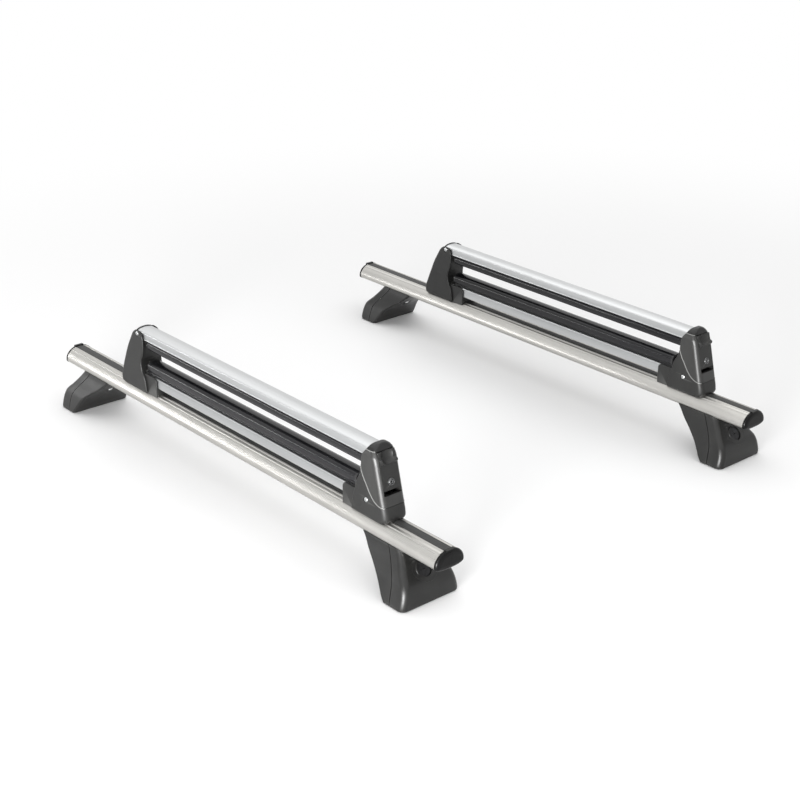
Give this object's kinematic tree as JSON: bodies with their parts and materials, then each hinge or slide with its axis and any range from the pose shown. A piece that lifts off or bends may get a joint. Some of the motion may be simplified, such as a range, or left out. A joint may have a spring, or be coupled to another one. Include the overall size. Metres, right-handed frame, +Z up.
{
  "type": "roof ski carrier",
  "caption": "Pair of roof crossbars on four clamping feet, each bar with a hinged, rubber-padded ski clamp that latches at one end.",
  "frame": {"origin": "middle of the footprint, on the plane the four rubber pads stand on", "axes": "+X along the bars towards the latches, +Y from the front row to the rear row, +Z up"},
  "size_m": [1.0756, 0.862, 0.2235],
  "materials": {
    "bar_aluminium": "drawn and anodised, warm grey, fine lengthwise lines",
    "arm_aluminium": "satin silver anodised",
    "tower_plastic": "satin charcoal, fine texture",
    "foot_plastic": "satin charcoal, fine texture",
    "rubber": "black, glossy where the skis rub it",
    "steel": "zinc plated"
  },
  "bodies": {
    "frame": {"crossbar_front": "bar_aluminium", "slot_strip_front": "rubber", "latch_base_front": "tower_plastic", "base_pin_front": "steel", "latch_bolt_front": "steel", "hinge_tower_front": "tower_plastic", "hinge_pin_front": "steel", "hinge_bolt_front": "steel", "lower_arm_front": "arm_aluminium", "lower_pad_front": "rubber", "end_cap_front_near": "foot_plastic", "foot_body_front_near": "foot_plastic", "foot_pad_front_near": "rubber", "foot_bolt_front_near": "steel", "end_cap_front_far": "foot_plastic", "foot_body_front_far": "foot_plastic", "foot_pad_front_far": "rubber", "foot_bolt_front_far": "steel", "crossbar_rear": "bar_aluminium", "slot_strip_rear": "rubber", "latch_base_rear": "tower_plastic", "base_pin_rear": "steel", "latch_bolt_rear": "steel", "hinge_tower_rear": "tower_plastic", "hinge_pin_rear": "steel", "hinge_bolt_rear": "steel", "lower_arm_rear": "arm_aluminium", "lower_pad_rear": "rubber", "end_cap_rear_near": "foot_plastic", "foot_body_rear_near": "foot_plastic", "foot_pad_rear_near": "rubber", "foot_bolt_rear_near": "steel", "end_cap_rear_far": "foot_plastic", "foot_body_rear_far": "foot_plastic", "foot_pad_rear_far": "rubber", "foot_bolt_rear_far": "steel"},
    "arm_front": {"upper_arm_front": "arm_aluminium", "upper_pad_front": "rubber", "latch_head_front": "tower_plastic", "hinge_head_front": "tower_plastic", "hook_spring_front": "steel"},
    "slider_front": {"release_slider_front": "tower_plastic"},
    "lock_front": {"lock_cylinder_front": "steel"},
    "hook_front": {"latch_hook_front": "steel"},
    "cover_front_near": {"foot_cover_front_near": "foot_plastic"},
    "key_front_near": {"foot_lock_front_near": "steel"},
    "cover_front_far": {"foot_cover_front_far": "foot_plastic"},
    "key_front_far": {"foot_lock_front_far": "steel"},
    "arm_rear": {"upper_arm_rear": "arm_aluminium", "upper_pad_rear": "rubber", "latch_head_rear": "tower_plastic", "hinge_head_rear": "tower_plastic", "hook_spring_rear": "steel"},
    "slider_rear": {"release_slider_rear": "tower_plastic"},
    "lock_rear": {"lock_cylinder_rear": "steel"},
    "hook_rear": {"latch_hook_rear": "steel"},
    "cover_rear_near": {"foot_cover_rear_near": "foot_plastic"},
    "key_rear_near": {"foot_lock_rear_near": "steel"},
    "cover_rear_far": {"foot_cover_rear_far": "foot_plastic"},
    "key_rear_far": {"foot_lock_rear_far": "steel"}
  },
  "joints": [
    {"name": "arm_hinge_front", "type": "hinge", "parent": "frame", "child": "arm_front", "pos_m": [-0.2674, -0.3725, 0.2084], "axis": [0, -1, 0], "range_deg": [0, 80]},
    {"name": "slider_press_front", "type": "slide", "parent": "arm_front", "child": "slider_front", "axis": [0.2494, 0, -0.9684], "range_m": [0, 0.007], "stiffness_N_per_m": 400, "springref_m": -0.004},
    {"name": "lock_turn_front", "type": "hinge", "parent": "slider_front", "child": "lock_front", "pos_m": [0.40268, -0.3725, 0.16585], "axis": [0.9684, 0, 0.2494], "range_deg": [0, 90]},
    {"name": "hook_swing_front", "type": "hinge", "parent": "arm_front", "child": "hook_front", "pos_m": [0.3825, -0.3725, 0.166], "axis": [0, -1, 0], "range_deg": [0, 20]},
    {"name": "cover_pull_front_near", "type": "slide", "parent": "frame", "child": "cover_front_near", "axis": [1, 0, 0], "range_m": [0, 0.04]},
    {"name": "foot_lock_turn_front_near", "type": "hinge", "parent": "cover_front_near", "child": "key_front_near", "pos_m": [0.479, -0.3725, 0.05], "axis": [0.7776, 0, 0.6288], "range_deg": [0, 90]},
    {"name": "cover_pull_front_far", "type": "slide", "parent": "frame", "child": "cover_front_far", "axis": [-1, 0, 0], "range_m": [0, 0.04]},
    {"name": "foot_lock_turn_front_far", "type": "hinge", "parent": "cover_front_far", "child": "key_front_far", "pos_m": [-0.479, -0.3725, 0.05], "axis": [-0.7776, 0, 0.6288], "range_deg": [0, 90]},
    {"name": "arm_hinge_rear", "type": "hinge", "parent": "frame", "child": "arm_rear", "pos_m": [-0.2674, 0.3725, 0.2084], "axis": [0, -1, 0], "range_deg": [0, 80]},
    {"name": "slider_press_rear", "type": "slide", "parent": "arm_rear", "child": "slider_rear", "axis": [0.2494, 0, -0.9684], "range_m": [0, 0.007], "stiffness_N_per_m": 400, "springref_m": -0.004},
    {"name": "lock_turn_rear", "type": "hinge", "parent": "slider_rear", "child": "lock_rear", "pos_m": [0.40268, 0.3725, 0.16585], "axis": [0.9684, 0, 0.2494], "range_deg": [0, 90]},
    {"name": "hook_swing_rear", "type": "hinge", "parent": "arm_rear", "child": "hook_rear", "pos_m": [0.3825, 0.3725, 0.166], "axis": [0, -1, 0], "range_deg": [0, 20]},
    {"name": "cover_pull_rear_near", "type": "slide", "parent": "frame", "child": "cover_rear_near", "axis": [1, 0, 0], "range_m": [0, 0.04]},
    {"name": "foot_lock_turn_rear_near", "type": "hinge", "parent": "cover_rear_near", "child": "key_rear_near", "pos_m": [0.479, 0.3725, 0.05], "axis": [0.7776, 0, 0.6288], "range_deg": [0, 90]},
    {"name": "cover_pull_rear_far", "type": "slide", "parent": "frame", "child": "cover_rear_far", "axis": [-1, 0, 0], "range_m": [0, 0.04]},
    {"name": "foot_lock_turn_rear_far", "type": "hinge", "parent": "cover_rear_far", "child": "key_rear_far", "pos_m": [-0.479, 0.3725, 0.05], "axis": [-0.7776, 0, 0.6288], "range_deg": [0, 90]}
  ],
  "couplings": [
    {"joint": "hook_swing_front", "follows": "slider_press_front", "rad_per_m": 49.8},
    {"joint": "hook_swing_rear", "follows": "slider_press_rear", "rad_per_m": 49.8}
  ]
}
